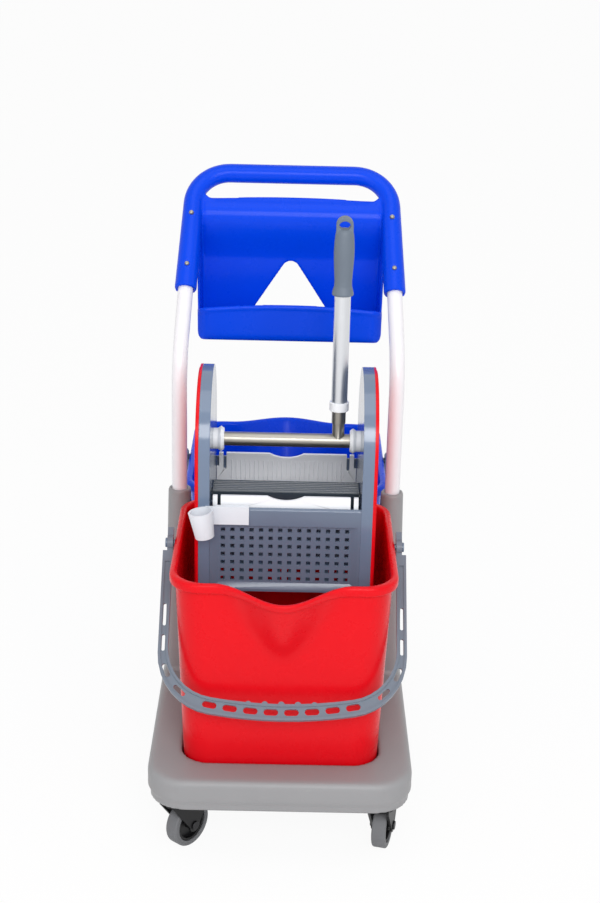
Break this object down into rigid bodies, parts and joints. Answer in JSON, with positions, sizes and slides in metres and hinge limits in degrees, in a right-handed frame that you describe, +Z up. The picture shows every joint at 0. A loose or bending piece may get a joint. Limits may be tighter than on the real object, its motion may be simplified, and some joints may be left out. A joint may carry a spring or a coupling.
{
  "type": "double mop bucket trolley",
  "caption": "Wheeled mop trolley with a red and a blue lift-out bucket, a geared lever wringer, swinging bails, swivel casters and a leaning push handle with a bottle tray.",
  "frame": {"origin": "middle of the outline, on the floor under the wheels", "axes": "+X to the right when facing the wringer's front, +Y towards the push handle, +Z up"},
  "size_m": [0.41, 0.82, 0.9627],
  "materials": {
    "chassis_grey": "satin moulded",
    "red_plastic": "gloss moulded",
    "blue_plastic": "gloss moulded",
    "slate_plastic": "gloss moulded",
    "white_plastic": "satin moulded",
    "white_tube": "powder coat",
    "steel": "plated",
    "aluminium": "drawn tube",
    "black_plastic": "moulded",
    "tyre_grey": "smooth grey rubber"
  },
  "bodies": {
    "base": {"chassis": "chassis_grey", "upright_left": "white_tube", "upright_right": "white_tube", "upright_bolts": "steel", "handle_tray": "blue_plastic", "tray_screws": "steel", "caster_stems": "steel"},
    "front_bucket_body": {"front_bucket": "red_plastic", "front_bail_pins": "slate_plastic"},
    "front_bail_body": {"front_bail": "slate_plastic"},
    "rear_bucket_body": {"rear_bucket": "blue_plastic", "rear_bail_pins": "slate_plastic"},
    "rear_bail_body": {"rear_bail": "slate_plastic"},
    "wringer": {"cheek_left": "slate_plastic", "cheek_right": "slate_plastic", "cover_left": "red_plastic", "cover_right": "red_plastic", "cover_screws": "steel", "front_grille": "slate_plastic", "back_wall": "slate_plastic", "drain_floor": "slate_plastic", "front_lip": "white_plastic", "rear_lip": "white_plastic", "shaft_bush_left": "white_plastic", "shaft_bush_right": "white_plastic", "mop_clip": "white_plastic"},
    "lever": {"cross_shaft": "steel", "pinion_left": "black_plastic", "pinion_right": "black_plastic", "lever_tube": "aluminium", "lever_collar": "white_plastic", "lever_grip": "slate_plastic"},
    "jaw": {"jaw_beam": "slate_plastic", "press_plate": "slate_plastic", "jaw_sector_left": "black_plastic", "jaw_sector_right": "black_plastic"},
    "caster_fl": {"caster_fork_fl": "black_plastic", "caster_axle_fl": "steel"},
    "wheel_fl": {"wheel_hub_fl": "black_plastic", "wheel_tyre_fl": "tyre_grey"},
    "pedal_fl": {"brake_pedal_fl": "black_plastic"},
    "caster_fr": {"caster_fork_fr": "black_plastic", "caster_axle_fr": "steel"},
    "wheel_fr": {"wheel_hub_fr": "black_plastic", "wheel_tyre_fr": "tyre_grey"},
    "pedal_fr": {"brake_pedal_fr": "black_plastic"},
    "caster_rl": {"caster_fork_rl": "black_plastic", "caster_axle_rl": "steel"},
    "wheel_rl": {"wheel_hub_rl": "black_plastic", "wheel_tyre_rl": "tyre_grey"},
    "caster_rr": {"caster_fork_rr": "black_plastic", "caster_axle_rr": "steel"},
    "wheel_rr": {"wheel_hub_rr": "black_plastic", "wheel_tyre_rr": "tyre_grey"}
  },
  "joints": [
    {"name": "swivel_fl", "type": "hinge", "parent": "base", "child": "caster_fl", "pos_m": [-0.158, -0.356, 0.09], "axis": [0, 0, 1], "continuous": true},
    {"name": "roll_fl", "type": "hinge", "parent": "caster_fl", "child": "wheel_fl", "pos_m": [-0.14386, -0.33915, 0.0375], "axis": [0.766, -0.6428, 0], "continuous": true},
    {"name": "brake_fl", "type": "hinge", "parent": "caster_fl", "child": "pedal_fl", "pos_m": [-0.12843, -0.32076, 0.0765], "axis": [-0.766, 0.6428, 0], "range_deg": [0, 12]},
    {"name": "swivel_fr", "type": "hinge", "parent": "base", "child": "caster_fr", "pos_m": [0.158, -0.356, 0.09], "axis": [0, 0, 1], "continuous": true},
    {"name": "roll_fr", "type": "hinge", "parent": "caster_fr", "child": "wheel_fr", "pos_m": [0.16369, -0.33475, 0.0375], "axis": [0.9659, -0.2588, 0], "continuous": true},
    {"name": "brake_fr", "type": "hinge", "parent": "caster_fr", "child": "pedal_fr", "pos_m": [0.16991, -0.31157, 0.0765], "axis": [-0.9659, 0.2588, 0], "range_deg": [0, 12]},
    {"name": "swivel_rl", "type": "hinge", "parent": "base", "child": "caster_rl", "pos_m": [-0.158, 0.356, 0.09], "axis": [0, 0, 1], "continuous": true},
    {"name": "roll_rl", "type": "hinge", "parent": "caster_rl", "child": "wheel_rl", "pos_m": [-0.13858, 0.36633, 0.0375], "axis": [0.4695, -0.8829, 0], "continuous": true},
    {"name": "swivel_rr", "type": "hinge", "parent": "base", "child": "caster_rr", "pos_m": [0.158, 0.356, 0.09], "axis": [0, 0, 1], "continuous": true},
    {"name": "roll_rr", "type": "hinge", "parent": "caster_rr", "child": "wheel_rr", "pos_m": [0.13823, 0.34636, 0.0375], "axis": [-0.4384, 0.8988, 0], "continuous": true},
    {"name": "front_bucket_lift", "type": "slide", "parent": "base", "child": "front_bucket_body", "axis": [0, 0, 1], "range_m": [0, 0.3]},
    {"name": "front_bail_swing", "type": "hinge", "parent": "front_bucket_body", "child": "front_bail_body", "pos_m": [0, -0.188, 0.4475], "axis": [-1, 0, 0], "range_deg": [0, 75]},
    {"name": "rear_bucket_lift", "type": "slide", "parent": "base", "child": "rear_bucket_body", "axis": [0, 0, 1], "range_m": [0, 0.2]},
    {"name": "rear_bail_swing", "type": "hinge", "parent": "rear_bucket_body", "child": "rear_bail_body", "pos_m": [0, 0.188, 0.4475], "axis": [1, 0, 0], "range_deg": [0, 100]},
    {"name": "wringer_lift", "type": "slide", "parent": "front_bucket_body", "child": "wringer", "axis": [0, 0, 1], "range_m": [0, 0.25]},
    {"name": "lever_turn", "type": "hinge", "parent": "wringer", "child": "lever", "pos_m": [0, -0.125, 0.6], "axis": [1, 0, 0], "range_deg": [0, 75]},
    {"name": "jaw_turn", "type": "hinge", "parent": "wringer", "child": "jaw", "pos_m": [0, -0.14778, 0.515], "axis": [1, 0, 0], "range_deg": [-35.1, 0]}
  ],
  "couplings": [
    {"joint": "jaw_turn", "follows": "lever_turn", "ratio": -0.46667}
  ]
}
